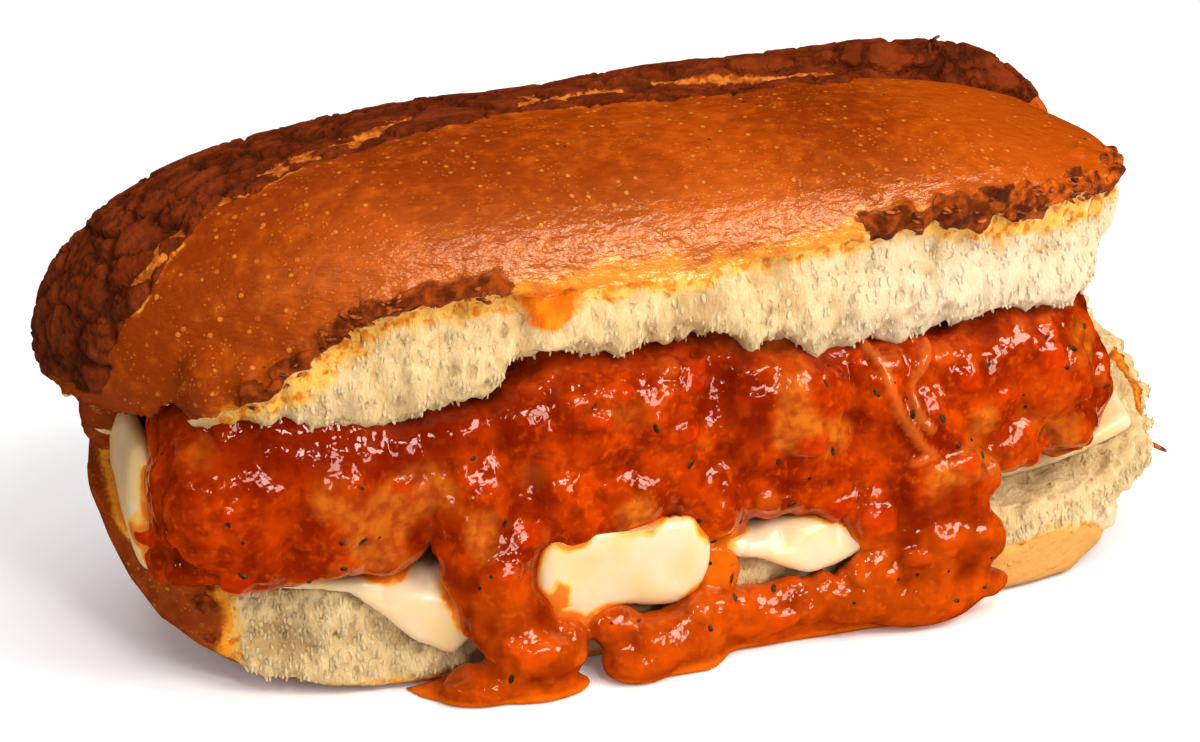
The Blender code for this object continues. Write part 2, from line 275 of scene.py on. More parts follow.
class Finish:
    """A material under construction."""

    def __init__(self, name):
        self.material = bpy.data.materials.new(name)
        self.material.use_nodes = True
        self.tree = self.material.node_tree
        self.tree.nodes.clear()
        self.spot = self.node("TexCoord", {}, {}, "Object")

    def node(self, kind, settings, sockets, output=0):
        """A node of a kind, its settings made first, then the values or links of its sockets."""
        made = self.tree.nodes.new("ShaderNode" + kind)
        for name, value in settings.items():
            setattr(made, name, value)
        for key, value in sockets.items() if isinstance(sockets, dict) else enumerate(sockets):
            if isinstance(value, Value):
                self.tree.links.new(value.socket, made.inputs[key])
            else:
                made.inputs[key].default_value = value
        return Value(self, made.outputs[output]) if made.outputs else made

    def field(self, name):
        """The number that mark stored on the points."""
        return self.node("Attribute", {"attribute_name": name}, {}, "Fac")

    def stretched(self, x, y, z):
        return self.node("Mapping", {}, {"Vector": self.spot, "Scale": (x, y, z)})

    def noise(self, size, detail=2, spot=None, roughness=0.5):
        """Noise from 0 to 1 whose lumps are that many millimetres."""
        sockets = {"Vector": spot or self.spot, "Scale": 1 / (size * MM), "Detail": detail, "Roughness": roughness}
        return self.node("TexNoise", {}, sockets)

    def dots(self, size, output="Distance"):
        """Cells of that size: how far each place is from a centre, or a number for each cell."""
        return self.node("TexVoronoi", {}, {"Vector": self.spot, "Scale": 1 / (size * MM)}, output)

    def mix(self, share, first, second):
        """Colours mixed, from the first to the second."""
        first, second = ((*each, 1) if isinstance(each, tuple) and len(each) == 3 else each for each in (first, second))
        return self.node("Mix", {"data_type": "RGBA"}, {0: share, 6: first, 7: second}, 2)

    def relief(self, height, depth):
        """Bump from a height of 0 to 1 that stands for that many millimetres."""
        return self.node("Bump", {}, {"Height": height, "Distance": depth * MM, "Strength": 1})

    def skin(self, colour, roughness, normal, **constants):
        sockets = {"Base Color": colour, "Roughness": roughness, "Normal": normal, **constants}
        return self.node("BsdfPrincipled", {}, sockets)

    def done(self, shader):
        self.node("OutputMaterial", {}, {"Surface": shader})
        return self.material


# Colours of the bread beyond those of RollLook
AMBER, GOLDEN, TAN, OILED = (0.5, 0.12, 0.006), (0.82, 0.33, 0.025), (0.74, 0.42, 0.13), (0.86, 0.22, 0.004)
BLISTER, SMALL_BLISTER, BLACK_SPECK = (0.62, 0.22, 0.03), (0.58, 0.18, 0.02), (0.03, 0.008, 0.002)
TOPPING_LIGHT, CRACK = (0.22, 0.036, 0.005), (0.02, 0.004, 0.001)
FLAKE_DARK, FLAKE_LIGHT = (0.34, 0.07, 0.005), (0.6, 0.2, 0.025)
TOAST_DARK, TOAST_LIGHT = (0.34, 0.062, 0.004), (0.54, 0.11, 0.008)
# The glaze colour is painted sheen for the shining lower flank.
CHAR, BURNT_TIP, PAINTED_SHEEN = (0.12, 0.019, 0.002), (0.06, 0.012, 0.003), (0.75, 0.22, 0.03)
# The hollow colour is painted shade for the crumb's recesses.
# The pore colour is painted shade in the crumb's pores.
CREAM, PORE_SHADE, WHITE_CRUMB, HOLLOW_SHADE = (0.8, 0.58, 0.28), (0.66, 0.43, 0.19), (0.84, 0.71, 0.52), (0.54, 0.33, 0.13)
GOLDEN_CRUMB, TOASTED_CRUMB = (0.88, 0.52, 0.11), (0.74, 0.25, 0.015)
OILED_LIGHT, OILED_DARK = (0.9, 0.3, 0.008), (0.86, 0.2, 0.004)


def bread_finish(look):
    """Crust with blisters, burnt topping and torn crumb, told apart by the fields on the points."""
    bread = Finish("crust_and_crumb")
    crumb, topping, gap, burn, gold, oil = map(bread.field, ("crumb", "topping", "gap", "burn", "gold", "oil"))
    pale, light, shine = map(bread.field, ("pale", "light", "shine"))

    # Each ends in a ragged edge
    ragged = bread.noise(1.1, 4) - 0.5
    crumb = (crumb + ragged * 0.9).over(0.42, 0.58)
    topping = (topping + ragged * 0.9).over(0.4, 0.6)
    gap = (gap + ragged).over(0.3, 0.6)
    burn = (burn + ragged * 1.1).over(0.38, 0.62)
    gold = (gold + ragged * 0.8).over(0.1, 0.9)
    oil = (oil + ragged * 0.5).over(0.2, 0.8)

    # Smooth crust
    mottle = bread.noise(3.2, 4)
    # Painted light and shade: the crust's dark and light colours follow the light field, lighter towards the right end
    # and darker towards the left, with mottling.
    broad = light + (mottle - 0.5) * 0.8
    crust = bread.mix(broad.over(0.2, 0.8), tuple(look.crust_dark), tuple(look.crust_light))
    crust = bread.mix(mottle.over(0.5, 0.8) * 0.4, crust, AMBER)
    flecks = bread.dots(2.1).over(0.28, 0.14) * bread.dots(2.1, "Color").over(0.45, 0.7)
    fine = bread.dots(0.95).over(0.3, 0.14) * bread.noise(5, 2).over(0.4, 0.6)
    crust = bread.mix(flecks * 0.75, crust, BLISTER)
    crust = bread.mix(fine * 0.6, crust, SMALL_BLISTER)
    specks = bread.dots(5.5).over(0.07, 0.04) * bread.dots(5.5, "Color").over(0.55, 0.6)
    crust = bread.mix(specks, crust, BLACK_SPECK)
    crust = bread.mix(gold, crust, GOLDEN)
    crust = bread.mix(pale * 0.8, crust, TAN)
    crust = bread.mix(oil, crust, OILED)

    # Topping with its cracks, and the burnt ridge
    burnt = bread.mix(bread.noise(6, 3).over(0.35, 0.65), tuple(look.topping), TOPPING_LIGHT)
    cracks = bread.field("split") * bread.noise(3, 2).over(0.3, 0.45)
    burnt = bread.mix(cracks * 0.6, burnt, CRACK)
    flaky = bread.mix(bread.noise(1.8, 3).over(0.35, 0.65), FLAKE_DARK, FLAKE_LIGHT)
    crust = bread.mix(topping, crust, bread.mix(gap, burnt, flaky))
    # Painted light: the toast under the burnt ridge is lighter where the light field is high, towards the right end.
    toast = bread.mix(light.over(0.5, 0.85), TOAST_DARK, TOAST_LIGHT)
    char = bread.mix(bread.noise(2.2, 4).over(0.36, 0.68), CHAR, toast)
    char = bread.mix((bread.field("tip") * 1.6 + ragged).over(0.3, 1.1), char, BURNT_TIP)
    crust = bread.mix(burn, crust, char)

    wrinkles = bread.noise(1.6, 3, bread.stretched(0.7, 1, 1.3)) * (1.2 + shine * 1.2)
    grit = bread.noise(1.3, 4) * (topping * 2.0 + burn * 1.4 + 0.1)
    swelling = flecks * 0.5 + fine * 0.25 + wrinkles + grit
    relief = bread.relief(swelling - cracks * topping * 1.2, 0.3)
    rough = 0.32 + topping * 0.3 + burn * 0.3 + mottle * 0.1
    matt = bread.skin(crust, rough, relief, **{"Specular IOR Level": 0.25, "Specular Tint": (1, 0.66, 0.3, 1)})
    # Where the lower flank shines: a glossier skin, which is real gloss, and its colour lightened with painted sheen.
    sheen_skin = bread.skin(bread.mix(0.35, crust, PAINTED_SHEEN), rough * 0.75, relief,
                        **{"Specular IOR Level": 1.3, "Specular Tint": (1, 0.8, 0.6, 1)})
    shell = bread.node("MixShader", {}, [shine, matt, sheen_skin])

    # Crumb
    strands = bread.noise(0.9, 5, bread.stretched(1, 1, 0.35), 0.7)
    pores = bread.noise(2.0, 3, bread.stretched(1, 1, 0.5)).over(0.42, 0.3)
    # Painted shade: the crumb takes its shade colour in the grooves between raised strands, and the pore colour where
    # pores sink.
    dough = bread.mix(strands.over(0.3, 0.7), tuple(look.crumb_shade), tuple(look.crumb))
    dough = bread.mix(bread.noise(3.5, 3, bread.stretched(1, 1, 0.45)).over(0.5, 0.75) * 0.5, dough, CREAM)
    dough = bread.mix(pores * 0.55, dough, PORE_SHADE)
    dough = bread.mix(pale * 0.6, dough, WHITE_CRUMB)
    # Painted shade: the crumb darker in its recesses, read from the recess field.
    dough = bread.mix(bread.field("recess") * 0.6, dough, HOLLOW_SHADE)
    dough = bread.mix(gold * bread.noise(3.0, 3).over(0.2, 0.5), dough, GOLDEN_CRUMB)
    dough = bread.mix(gold * bread.noise(1.7, 3).over(0.48, 0.62), dough, TOASTED_CRUMB)
    dough = bread.mix(oil, dough, bread.mix(bread.noise(4, 2).over(0.35, 0.6), OILED_LIGHT, OILED_DARK))
    dough = bread.mix(burn, dough, char)
    torn = bread.skin(dough, 0.75 - oil * 0.5, bread.relief(strands * 1.1 - pores * 0.6, 0.8),
                      **{"Subsurface Weight": 0.25, "Subsurface Radius": (0.002, 0.0014, 0.0008),
                         "Subsurface Scale": 1.0, "Specular IOR Level": 0.25})
    return bread.done(bread.node("MixShader", {}, [crumb, shell, torn]))


# Colours of the sauce beyond those of FillingLook
DEEP_RED, BRIGHT_ORANGE, THIN_SAUCE = (0.2, 0.012, 0.0004), (0.7, 0.14, 0.004), (0.7, 0.155, 0.004)
MEAT_DARK, MEAT_LIGHT = (0.42, 0.08, 0.005), (0.66, 0.2, 0.012)
TOMATO, ONION, ONION_STRIP = (0.62, 0.04, 0.001), (0.62, 0.14, 0.01), (0.7, 0.2, 0.03)
SHADED_SAUCE, PEPPER = (0.17, 0.009, 0.0004), (0.03, 0.02, 0.008)


def sauce_finish(look):
    """Tomato sauce over meat, with pieces of tomato and onion, and orange where it runs thin."""
    sauce = Finish("tomato_sauce")
    broad, middle, fine = sauce.noise(7, 3), sauce.noise(3, 3), sauce.noise(1.4, 4)
    meat = sauce.field("meat")
    colour = sauce.mix(broad.over(0.3, 0.7), tuple(look.sauce_dark), tuple(look.sauce))
    colour = sauce.mix(middle.over(0.52, 0.36) * 0.55, colour, DEEP_RED)
    colour = sauce.mix(fine.over(0.5, 0.75) * 0.4, colour, BRIGHT_ORANGE)
    browned = sauce.mix(sauce.noise(2.4, 4).over(0.35, 0.65), MEAT_DARK, MEAT_LIGHT)
    colour = sauce.mix(meat * 0.75, colour, browned)
    colour = sauce.mix(sauce.field("tomato") * 0.5, colour, TOMATO)
    colour = sauce.mix(sauce.field("onion") * 0.5, colour, ONION)
    colour = sauce.mix(sauce.field("strip") * 0.4, colour, ONION_STRIP)
    colour = sauce.mix(sauce.field("thin"), colour, THIN_SAUCE)
    # Painted shade from the deep field: hollows, the shadow under the lip and the first meatball.
    colour = sauce.mix(sauce.field("deep") * 0.75, colour, SHADED_SAUCE)
    specks = sauce.dots(4.3).over(0.1, 0.06) * sauce.dots(4.3, "Color").over(0.5, 0.6)
    colour = sauce.mix(specks, colour, PEPPER)
    height = broad * 0.6 + sauce.noise(3.4, 1) * 0.7 + sauce.noise(1.6, 1) * 0.2
    wet = 0.05 + meat * 0.1 + fine * 0.06
    return sauce.done(sauce.skin(colour, wet, sauce.relief(height, 0.8),
                                 **{"Specular Tint": (1, 0.88, 0.82, 1), "Subsurface Weight": 0.1,
                                    "Subsurface Radius": (0.004, 0.0006, 0.0002), "Subsurface Scale": 1.0}))


# Colours of the cheese beyond those of CheeseLook
RICH_CHEESE, STAIN_EDGE = (0.78, 0.55, 0.27), (0.93, 0.5, 0.1)


def cheese_finish(look):
    """Melted cheese, satin and translucent, stained where sauce touches it."""
    cheese = Finish("melted_cheese")
    stain = cheese.field("stain") * (0.55 + cheese.noise(2.5, 3) * 0.9)
    broad = cheese.noise(9, 2)
    colour = cheese.mix(broad.over(0.35, 0.7), tuple(look.colour), RICH_CHEESE)
    colour = cheese.mix(stain.over(0.2, 0.6), colour, STAIN_EDGE)
    colour = cheese.mix(stain.over(0.6, 1.0), colour, tuple(look.stain))
    height = broad * 0.7 + cheese.noise(2.2, 2) * 0.2
    return cheese.done(cheese.skin(colour, 0.26 + broad * 0.1, cheese.relief(height, 0.5),
                                   **{"Subsurface Weight": 0.5, "Subsurface Radius": (0.006, 0.0045, 0.0025),
                                      "Subsurface Scale": 1.0, "Coat Weight": 0.15}))


def plain_finish(name, dark, light, size, roughness):
    """Two colours in lumps of that size."""
    made = Finish(name)
    lumps = made.noise(size, 3)
    colour = made.mix(lumps.over(0.35, 0.65), dark, light)
    return made.done(made.skin(colour, roughness + lumps * 0.1, made.relief(lumps, 0.25)))


# The roll


# Places along X, and how far back there the topping's front edge and its golden seam lie
TOPPING_EDGE = ((-100, -94.6, -91.4, -83.7, -78, -64, -37, 0, 45, 56, 100),
                (-13, -15, -17.8, -18.6, -16, -12, -6.5, -1, 0, 10, 11.5))
SEAM = ((-90, -78, -66, -54, -39, -20, 30), (-19, -15.5, -13, -6, 1, 4, 6))


def upper_half(piece):
    """Crackled topping, burnt torn edge and hanging crumb on the upper half."""
    p, normals = places_of(piece)
    x, y, z = p.T

    # Torn crumb in front, below the edge of the crust, and under the half
    torn = crumb_bottom(x)
    ragged = 1.0 * swell(p, 7, 1) + 0.8 * swell(p, 2.6, 2)
    edge = crust_edge(x) + ragged
    front = smooth_step(-8, -14, y + 3.5 * swell(p, 6, 25) + 1.5 * swell(p, 2, 26))
    crumb = front * smooth_step(-0.6, 0.6, edge - z)
    level = -0.5 + 0.3 * smooth_step(-82, -74, x)
    under = smooth_step(level, level - 0.3, normals[:, 2]) * smooth_step(torn + 7, torn + 3, z) * (y < 31)
    crumb = np.maximum(crumb, under)

    # Topping, from a wavy line in front to a ragged end at the back
    line = np.interp(x, *TOPPING_EDGE) + 2.2 * swell(p, 9, 3) + 1.0 * swell(p, 3, 4)
    back = 30 + 3.5 * swell(p, 10, 5) + 1.5 * swell(p, 3, 27)
    lowest = z + 2.5 * swell(p, 6, 28) - 14 * smooth_step(74, 92, x)
    topping = smooth_step(line - 0.5, line + 0.5, y) * smooth_step(back + 0.5, back - 0.5, y)
    topping = topping * smooth_step(52, 53.2, lowest) * (1 - crumb)

    # Cracks between its plates, wide and golden along the seam, and the slash
    depth, _, tag = plates(p * (0.6, 1, 1) + 1.4 * swell(p, 5, 6)[:, None], 6.5, 11)
    finer, _, _ = plates(p + 0.9 * swell(p, 3, 45)[:, None], 3.2, 12)
    split = smooth_step(0.14, 0.02, depth)
    fine_split = smooth_step(0.2, 0.04, finer) * smooth_step(-0.4, 0.2, swell(p, 8, 46))
    seam_width = 1.5 + 1.3 * smooth_step(-74, -64, x)
    wide = bump(np.interp(x, *SEAM), seam_width, y) * band(-84, -28, 6, x) + bump(6, 4, y) * band(-15, 10, 5, x)
    wide = np.clip(1.4 * wide * smooth_step(-0.8, 0.1, swell(p, 9, 7)), 0, 1)
    slash_width = 1.1 + 0.6 * swell(p, 6, 8)
    slash = bump(11.5 + 0.8 * swell(p, 5, 43), slash_width, y) * band(12, 52, 4, x) * smooth_step(76, 80, z)
    gap = np.maximum(topping * np.clip(split * wide * 1.3, 0, 1), 0.7 * slash)
    topping = np.maximum(topping, slash)
    rim = smooth_step(line - 1.0, line, y) * smooth_step(line + 0.5, line, y) * smooth_step(51, 54, z)
    rim = rim * smooth_step(0.1, 0.5, swell(p, 6, 9)) * (x < 46)

    # Burnt ridge along the torn edge at both ends, with gold under it
    along = np.maximum(band(-71, -27, 3, x), band(33, 94, 3, x))
    tall = 2.0 - 0.6 * band(20, 36, 3, x) + 1.4 * smooth_step(36, 56, x) + 0.8 * swell(p, 4, 12)
    jagged = 0.9 * swell(p, 1.8, 13) + (1.5 * swell(p * (1, 1, 0.2), 3.0, 42)) * (x > 20)
    steep = smooth_step(0.82, 0.62, normals[:, 2] + 0.12 * swell(p, 3, 61))
    burn = smooth_step(0.25, 0.6, along * bump(edge + 1.3, tall, z + jagged) * front * steep)
    tip = burn * (bump(60, 3.2, x) + bump(82, 2.4, x)) * smooth_step(edge + 0.5, edge + 3, z)
    tip = tip * smooth_step(-0.6, 0.4, swell(p, 1.8, 44))
    at_left = smooth_step(-24, -32, x)
    below = 3.5 + 2.5 * smooth_step(20, 50, x) + 1.5 * at_left
    fringe = edge - 2.4 * smooth_step(38, 54, x) - 1.8 * at_left
    patchy = z + (0.9 * swell(p, 3.2, 29) + 0.6 * swell(p, 1.6, 30))
    gold = smooth_step(fringe + 5.5, fringe - 0.5, patchy) * smooth_step(fringe - below, fringe - 0.5, patchy)
    gold = gold * front * smooth_step(-80, -72, x) * smooth_step(94, 88, x)
    gold = np.maximum(gold * (1 - burn), 0.75 * rim)

    # A drop of oil, and oil soaked along the edge beside it
    drop = np.hypot((x + 20.5) / 5.8, (z - 66.8) / 4) + 0.35 * swell(p, 3.5, 32)
    soaked = band(-24, 4, 3, x) * bump(edge - 0.3, 0.9, z) * smooth_step(-0.2, 0.2, swell(p, 2.5, 33))
    oil = np.maximum(smooth_step(1.05, 0.6, drop), 0.7 * soaked) * front
    # The lower flank where the front lamp's highlight falls: a glossier skin there, its colour lightened with painted
    # sheen.
    shine = (1 - burn) * band(60, 79, 8, z) * band(-48, 62, 24, x) * smooth_step(-9, -22, y)

    # Relief
    _, near, _ = plates(p * (1, 1, 0.55), 3.0, 21)
    clumps = swell(p * (1, 1, 0.35), 4.5, 15) + 0.5 * swell(p * (1, 1, 0.5), 2.4, 41)
    fibres = 0.5 * swell(p * (1, 1, 0.3), 1.5, 14)
    height = crumb * (fibres + 1.1 * clumps - 0.6 * smooth_step(0.4, 0.12, near))
    # Painted shade on the crumb where its relief sinks.
    recess = crumb * smooth_step(0.0, -1.4, height)
    height += (1 - crumb) * (0.3 * swell(p, 22, 16) + 0.1 * swell(p, 6, 17))
    creases = smooth_step(0.82, 1, 1 - np.abs(swell(p * (0.8, 1, 1.2), 3.2, 18)))
    creases = creases * smooth_step(84, 74, z) * band(-40, 60, 20, x)
    height -= 0.22 * creases * (1 - crumb) * (1 - topping)
    plate = (0.6 - 0.9 * split - 0.45 * fine_split) * (1 - gap)
    height += topping * (plate + 0.12 * swell(p, 2.2, 19) + 0.9 * (tag - 0.5))
    shoulder = bump(92, 8, x) * bump(-17, 15, y) * bump(77, 8, z)
    height += 0.8 * oil + 3.2 * shoulder * (1 - crumb)
    height += 1.7 * tip + burn * (0.8 + 1.1 * swell(p, 2.6, 20) + 0.6 * swell(p, 1.4, 24))
    p = p + normals * height[:, None]

    # The right end drawn in, and the steps and teeth of the lip's lower edge
    p[:, 0] -= (3.2 + 5.5 * smooth_step(70, 54, z)) * smooth_step(80, 99, x)
    step = 5.2 * smooth_step(-28.6, -27.8, x) * smooth_step(-6, -24, x)
    step -= 1.8 * smooth_step(-61, -60.2, x) * smooth_step(-34, -52, x)
    upright = p * (1, 0.4, 0)
    teeth = 1.2 * smooth_step(-0.1, 0.1, swell(upright, 2.7, 31)) + 1.1 * swell(upright, 1.8, 22)
    teeth = (teeth + 0.8 * swell(upright, 1.1, 23) - 0.6) * (0.5 + 0.5 * band(-2, 32, 4, x))
    teeth += 0.6 * smooth_step(30, 60, x) - 2.2 * bump(27, 3.0, x)
    p[:, 2] += smooth_step(8, 0, z - torn) * front * smooth_step(-80, -73, x) * (step + teeth)
    place(piece, p)
    # Painted light and shade: the crust and the burnt ridge lighter towards the right end, where the key lamp falls,
    # and darker towards the left end, which lies in shade, over a random tone.
    light = 0.45 + 0.25 * swell(p, 22, 40) + 0.4 * smooth_step(35, 75, x) - 0.35 * smooth_step(-35, -85, x)
    mark(piece, crumb=crumb, topping=topping, gap=gap, burn=burn, gold=gold, oil=oil, shine=shine, tip=tip,
         recess=recess, light=light, pale=crumb * smooth_step(10, 50, x),
         split=np.maximum(split, 0.7 * fine_split) * topping * (1 - gap))


def lower_half(piece):
    """Crust, torn crumb at the front and right, and the cut face of the lower half."""
    p, normals = places_of(piece)
    x, y, z = p.T
    over_cut = z - cut_floor(x, y)
    ragged = 1.1 * swell(p, 6, 31) + 0.7 * swell(p, 2.4, 32)
    facing = smooth_step(-0.25, -0.6, normals[:, 1]) * smooth_step(-12, -18, y)

    # Crumb in front above a foot of crust, round the right end, and on the cut face
    base = 1.2 + (8.5 + 1.6 * swell(p, 7, 47)) * smooth_step(50, 58, x) * smooth_step(92, 84, x)
    torn = facing * smooth_step(-75, -73.5, x + ragged) * smooth_step(base - 0.5, base + 0.5, z + 0.7 * ragged)
    back = y + 2.5 * ragged - 13 * smooth_step(18, 26, z) + 13
    end = smooth_step(84, 90, x) * smooth_step(18, 15, back) * smooth_step(9, 10.5, z + 1.5 * ragged)
    inner = smooth_step(0.15, 0.4, normals[:, 2]) * smooth_step(3.4, 2.2, np.abs(over_cut)) * (y < 34)
    inner = inner * smooth_step(-89, -87, x + 0.8 * ragged)
    crumb = np.clip(np.maximum(np.maximum(torn, end), inner), 0, 1)
    rim = smooth_step(99.4, 100.2, x) * smooth_step(1.3, 0.7, np.abs(over_cut + 0.4 * ragged))
    rim = rim * band(-22, -3, 2, y + 2 * ragged)
    crumb = crumb * (1 - rim)

    # Burnt spots and golden edges
    spots = bump(-77.5, 2.0, x + 0.6 * ragged) * (bump(15.5, 1.8, z) + 0.8 * bump(9.5, 1.3, z)) * (y < -14)
    foot = 0.8 * bump(0, 1.4, z) * band(-70, -45, 5, x) * facing * smooth_step(0, 0.4, swell(p, 3, 33))
    burn = np.maximum(spots, foot)
    gold = facing * smooth_step(3.0, 0.3, np.abs(x + ragged + 74))
    gold += 0.7 * facing * smooth_step(2.5, 0.5, np.abs(z - base))
    gold = np.maximum(gold, rim * 0.5)
    gold = np.maximum(gold, bump(-88.5, 1.2, x) * smooth_step(20, 24, z) * smooth_step(0, 0.3, normals[:, 2]))

    # Relief
    _, near, _ = plates(p, 3.4, 41)
    lumps = 0.5 * swell(p, 1.6, 34) + 1.1 * swell(p, 5, 35) + 0.6 * swell(p, 2.4, 48)
    hollow = bump(-66, 5, x) * bump(10, 3.5, z) * facing
    height = crumb * (lumps - 1.0 * smooth_step(0.4, 0.12, near)) - 3.6 * hollow
    # Painted shade on the crumb where its relief sinks.
    recess = crumb * smooth_step(0.0, -1.6, height)
    height += end * (1.5 * swell(p, 5, 36) + 1.2 * swell(p, 2.2, 37))
    height += (1 - crumb) * (0.3 * swell(p, 20, 38) + 0.12 * swell(p, 5, 39))
    height = np.where(z < 2.5, np.minimum(height, 0), height)
    p = p + normals * height[:, None]
    p[:, 2] = np.maximum(p[:, 2], 0)
    place(piece, p)
    absent = dict.fromkeys(("topping", "gap", "oil", "shine", "split", "tip"), 0 * x)
    mark(piece, crumb=crumb, burn=burn, gold=gold * (1 - burn), recess=recess, light=0.45 + 0.25 * swell(p, 22, 40),
         pale=smooth_step(50, 60, x) * smooth_step(14, 10, z) * facing, **absent)


# Height at which the halves meet along the back
HINGE_LINE = 48.3
# Where they close on each other at the left end
HINGE_PLACES = ((-77.5, 22, 41.5), (-82, 18, 41), (-84.5, 14, 39.5), (-86, 10, 37.5), (-86, 6, 37), (-86.5, 3, 41),
                (-87.5, 1, 46))


def torn_lip():
    """Lumps that bring the torn crumb out in front of the meatballs, with scraps of crust along its burnt edge."""
    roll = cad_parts["roll"]
    corners = np.array([vert.co for vert in roll.data.vertices]) / MM - SHIFT
    high = corners[corners[:, 2] > 58]
    lumps = []
    for x in range(-75, 80, 3):
        front = high[np.abs(high[:, 0] - x) < 5][:, 1].min()
        lumps.append(((x, front + 5, crumb_bottom(x) + 7.5), (5, 7.5, 7.5)))
    chance = np.random.default_rng(7)
    skin = BVHTree.FromObject(roll, bpy.context.evaluated_depsgraph_get())
    for x in (*chance.uniform(-73, -26, 80), *chance.uniform(33, 86, 75)):
        height = crust_edge(x) + 1.0 + chance.normal(0, 1.2 if x < 0 else 2.0)
        half = chance.uniform(0.8, 1.4, 3) * (1.5, 0.8, 1.1)
        before = Vector((np.array((x, -80, height)) + SHIFT) * MM)
        hit = skin.ray_cast(before, Vector((0, 1, 0)))[0]
        if hit:
            lumps.append((np.array(hit) / MM - SHIFT + (0, 0.2, 0), half))
    return lumps + [(spot, (6, 4, 4.5)) for spot in HINGE_PLACES]


def make_roll(look):
    """Both halves from one skin of the CAD roll, parted at the cut."""
    piece = even_skin("roll_upper", ["roll"], look.detail / MM, 2, torn_lip())
    other = link("roll_lower", piece.data.copy())
    x, y, z = places_of(piece)[0].T
    above = z > np.minimum(cut_floor(x, y) + 2, HINGE_LINE)
    keep_points(piece, above)
    keep_points(other, ~above)
    upper_half(piece)
    lower_half(other)
    finish = bread_finish(look)
    clothe(piece, finish, "roll", "roll")
    clothe(other, finish, "roll", "roll")


# The filling

# Where sauce lies over the meatballs and runs out, as centre and half sizes
SPILLS = (
    # under the first meatball and over the rim on its left
    ((-81, -22, 23), (5.5, 4.5, 4)),
    ((-82.5, -19, 29), (4, 4.5, 8)),
    ((-76, -29, 24.5), (8, 4.5, 4)),
    ((-69, -33, 26), (9, 5.5, 5.5)),
    ((-59, -34.5, 27), (9, 5.5, 5.5)),
    ((-49, -34.5, 28), (8, 5.5, 6)),
    ((-80, -24, 36), (6, 6, 10)),
    ((-74, -29, 31), (8, 7, 9)),
    # on the first meatball
    ((-71, -33, 36), (14, 7.5, 12)),
    ((-56, -34, 36), (14, 7.5, 12)),
    ((-44, -33, 37), (9, 7, 12)),
    ((-79, -27, 36), (7, 7, 11)),
    ((-76, -30, 40), (8, 7, 8)),
    # between the first and the second, and down to the left puddle
    ((-37, -33, 43), (8, 7, 9)),
    ((-35, -35, 36), (8, 6, 9)),
    ((-34, -37, 30), (7, 6, 8)),
    ((-33, -40, 25), (7, 4.5, 6)),
    ((-33, -41.5, 20), (6.5, 4, 6)),
    ((-31, -42, 15), (6.5, 4, 6)),
    ((-28, -43.5, 9), (7, 4.5, 5)),
    ((-24, -44.5, 5.5), (7, 5, 4)),
    ((-21, -42, 8), (5, 4, 4)),
    ((-33, -43, 2.5), (9, 5, 3.2)),
    ((-33, -40, 0.5), (10.5, 7.5, 1.4)),
    ((-25, -43.5, 0.5), (9.5, 5.2, 1.4)),
    # on the second meatball
    ((-23, -33, 41), (11, 8, 13)),
    ((-13, -34, 44), (13, 8, 14)),
    ((-2, -34, 42), (11, 8, 13)),
    ((-19, -36, 31), (13, 7, 9.5)),
    ((-10, -36, 31), (12, 7, 8)),
    ((-20, -38, 27), (8, 5, 4.5)),
    ((-1, -36, 35), (9, 6, 7)),
    ((4, -31, 50), (7, 6, 6)),
    ((13, -31, 51), (8, 6, 6)),
    # between the second and the third
    ((7, -33, 40), (8, 7, 12)),
    ((6, -37, 31), (7, 5, 5.5)),
    ((8, -39.5, 26), (5, 3.2, 4.5)),
    # on the third meatball
    ((15, -34, 41), (9, 8, 13)),
    ((24, -34, 41), (10, 8, 13)),
    ((21, -35, 32), (12, 6, 6)),
    ((32, -34, 32), (9, 6, 8)),
    # between the third and the fourth
    ((39, -34, 40), (9, 7, 13)),
    ((43, -36, 29), (10, 6, 9)),
    ((29, -36, 26), (9, 4.5, 4)),
    ((19, -36.5, 26.5), (8, 4.5, 3.5)),
    ((9, -37, 22.5), (6, 2.6, 5)),
    ((8, -38, 15.5), (5, 2.4, 6)),
    # on the fourth meatball
    ((55, -33, 41), (12, 8, 12)),
    ((70, -30, 40), (12, 8, 11)),
    ((84, -22, 34), (6, 8, 11)),
    ((77, -30, 30), (8, 6, 6)),
    ((62, -33, 30), (10, 6, 7)),
    # down to the right and along the foot of the roll
    ((40, -39, 21), (8, 4.5, 8)),
    ((48, -39.5, 17), (10, 4.5, 9)),
    ((41, -40.5, 11), (11, 4.5, 6)),
    ((53, -40.5, 9), (7, 4.5, 5)),
    ((59, -40, 6), (4, 3.5, 3)),
    ((34, -41, 6.5), (10, 4.5, 4.5)),
    ((46, -41, 4), (11, 5, 4)),
    ((23, -40.5, 7.5), (11, 4, 4.5)),
    ((12, -40.5, 7), (9, 4, 4.5)),
    ((4, -41.5, 8), (7, 4, 5)),
    ((-3, -43, 6), (8, 5, 5)),
    ((-7, -44, 3), (7, 5, 4)),
    ((-11, -41, 9), (5, 4, 4)),
)
# Strips of onion on the sauce, as places along X and Z
ONION_STRIPS = (((36, 54), (37.5, 47), (40, 42), (44, 36), (46, 33), (43, 32)),
                ((46, 51), (43, 46), (44, 40), (46, 38)))
TOMATO_PLACES = ((16, -37, 46), (24, -39, 38), (52, -41, 30), (37, -41, 22), (-31, -42, 24),
                 (-27, -46, 8), (70, -35, 46))


def sprinkle(p, normals, count, seed, low, high, keep):
    """Places on the visible skin for pieces in the sauce, as centre, half size and squash."""
    chance = np.random.default_rng(seed)
    able = np.nonzero(keep & (normals[:, 1] < 0.25))[0]
    picks = chance.choice(able, count, replace=False)
    return [(p[i], chance.uniform(low, high), chance.uniform(0.5, 1)) for i in picks]


